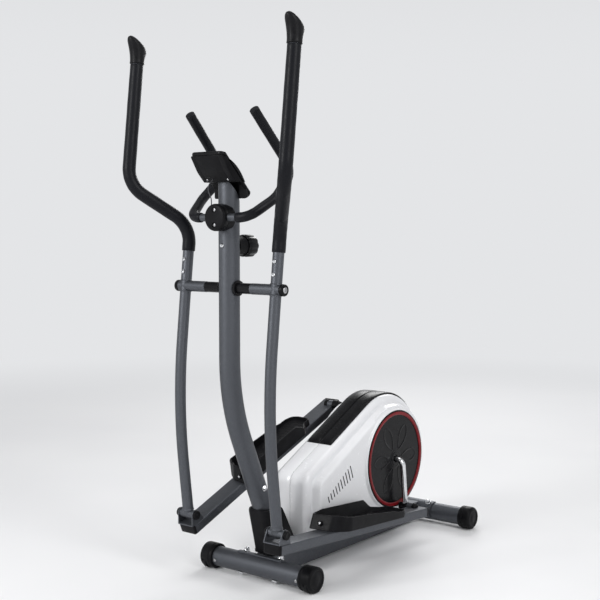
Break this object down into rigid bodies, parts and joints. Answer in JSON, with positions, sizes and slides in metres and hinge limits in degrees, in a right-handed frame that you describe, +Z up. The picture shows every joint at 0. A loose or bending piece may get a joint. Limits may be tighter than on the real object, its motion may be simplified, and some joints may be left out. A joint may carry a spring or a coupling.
{
  "type": "elliptical trainer",
  "caption": "Upright home elliptical trainer with swinging handles, foot trays on long arms, a rear crank inside a white drive housing and a fixed pulse bar under a small console.",
  "frame": {"origin": "on the floor, at the middle of the outline seen from above", "axes": "+Z up, +Y from the front foot to the rear foot, +X to the user's left"},
  "size_m": [0.623, 1.1512, 1.5852],
  "materials": {
    "frame_paint": "satin metallic dark grey",
    "black_plastic": "fine texture",
    "foam": "matt foam",
    "white_shell": "gloss",
    "red_trim": "satin dark red",
    "chrome": "polished",
    "steel": "ground",
    "iron": "machined rim",
    "grey_plastic": "moulded",
    "belt_rubber": "matt",
    "lead_cover": "satin grey",
    "display": "grey display behind a clear window"
  },
  "bodies": {
    "frame": {"main_beam": "frame_paint", "front_stabiliser": "frame_paint", "rear_stabiliser": "frame_paint", "stabiliser_bolts": "chrome", "front_end_caps": "black_plastic", "upright_post": "frame_paint", "post_bolts": "chrome", "base_cover": "black_plastic", "swing_axle": "steel", "axle_spacers": "black_plastic", "axle_caps": "black_plastic", "crank_bearings": "steel", "flywheel_axle": "steel", "drive_belt": "belt_rubber", "housing_left": "white_shell", "housing_right": "white_shell", "housing_cover": "black_plastic", "handlebar": "frame_paint", "handlebar_grips": "foam", "clamp_saddle": "black_plastic", "clamp_cap": "black_plastic", "frame_screws": "chrome", "knob_base": "black_plastic", "console_back": "black_plastic", "console_front": "black_plastic", "console_screen": "display", "sensor_lead": "lead_cover"},
    "crank": {"crank_shaft": "chrome", "crank_nuts": "black_plastic", "crank_discs": "black_plastic", "disc_rings": "red_trim", "drive_pulley": "grey_plastic"},
    "flywheel": {"flywheel": "iron"},
    "brake": {"magnet_bracket": "frame_paint"},
    "knob": {"tension_knob": "black_plastic"},
    "button": {"mode_button": "grey_plastic"},
    "wheel_left": {"transport_wheel_left": "black_plastic"},
    "wheel_right": {"transport_wheel_right": "black_plastic"},
    "leveller_left": {"levelling_cap_left": "black_plastic"},
    "leveller_right": {"levelling_cap_right": "black_plastic"},
    "swing_left": {"swing_arm_left": "frame_paint", "handle_tube_left": "frame_paint", "handle_grip_left": "foam", "handle_cap_left": "black_plastic", "handle_screws_left": "chrome"},
    "swing_right": {"swing_arm_right": "frame_paint", "handle_tube_right": "frame_paint", "handle_grip_right": "foam", "handle_cap_right": "black_plastic", "handle_screws_right": "chrome"},
    "pedal_left": {"pedal_arm_left": "frame_paint", "arm_plugs_left": "black_plastic", "foot_pedal_left": "black_plastic", "clevis_bolt_left": "black_plastic", "crank_pin_left": "black_plastic"},
    "pedal_right": {"pedal_arm_right": "frame_paint", "arm_plugs_right": "black_plastic", "foot_pedal_right": "black_plastic", "clevis_bolt_right": "black_plastic", "crank_pin_right": "black_plastic"}
  },
  "joints": [
    {"name": "crank_spin", "type": "hinge", "parent": "frame", "child": "crank", "pos_m": [0, 0.2555, 0.277], "axis": [1, 0, 0], "continuous": true},
    {"name": "flywheel_spin", "type": "hinge", "parent": "frame", "child": "flywheel", "pos_m": [0, -0.0345, 0.178], "axis": [1, 0, 0], "continuous": true},
    {"name": "swing_left", "type": "hinge", "parent": "frame", "child": "swing_left", "pos_m": [0, -0.4505, 0.8725], "axis": [1, 0, 0], "range_deg": [-13.5, 13.5]},
    {"name": "swing_right", "type": "hinge", "parent": "frame", "child": "swing_right", "pos_m": [0, -0.4505, 0.8725], "axis": [1, 0, 0], "range_deg": [-13.6, 13.6]},
    {"name": "pedal_left", "type": "hinge", "parent": "swing_left", "child": "pedal_left", "pos_m": [0.17, -0.4465, 0.1965], "axis": [1, 0, 0], "range_deg": [-13.6, 13.6]},
    {"name": "pedal_right", "type": "hinge", "parent": "swing_right", "child": "pedal_right", "pos_m": [-0.17, -0.4465, 0.1965], "axis": [1, 0, 0], "range_deg": [-13.6, 13.6]},
    {"name": "tension_turn", "type": "hinge", "parent": "frame", "child": "knob", "pos_m": [0, -0.3965, 0.99], "axis": [0, 1, 0], "range_deg": [0, 270]},
    {"name": "brake_lift", "type": "hinge", "parent": "frame", "child": "brake", "pos_m": [0, 0, 0.273], "axis": [1, 0, 0], "range_deg": [-8.2, 0]},
    {"name": "wheel_left_spin", "type": "hinge", "parent": "frame", "child": "wheel_left", "pos_m": [0.195, -0.3325, 0.024], "axis": [1, 0, 0], "continuous": true},
    {"name": "wheel_right_spin", "type": "hinge", "parent": "frame", "child": "wheel_right", "pos_m": [-0.195, -0.3325, 0.024], "axis": [1, 0, 0], "continuous": true},
    {"name": "leveller_left_turn", "type": "hinge", "parent": "frame", "child": "leveller_left", "pos_m": [0.217, 0.5375, 0.038], "axis": [1, 0, 0], "range_deg": [-90, 90]},
    {"name": "leveller_right_turn", "type": "hinge", "parent": "frame", "child": "leveller_right", "pos_m": [-0.217, 0.5375, 0.038], "axis": [1, 0, 0], "range_deg": [-90, 90]},
    {"name": "button_press", "type": "slide", "parent": "frame", "child": "button", "axis": [0, -0.8746, -0.4848], "range_m": [0, 0.0015], "stiffness_N_per_m": 600}
  ],
  "couplings": [
    {"joint": "flywheel_spin", "follows": "crank_spin", "ratio": 5.5},
    {"joint": "swing_right", "follows": "swing_left", "ratio": -1},
    {"joint": "pedal_left", "follows": "swing_left", "ratio": -1},
    {"joint": "pedal_right", "follows": "swing_left", "ratio": 1},
    {"joint": "brake_lift", "follows": "tension_turn", "ratio": -0.03}
  ]
}
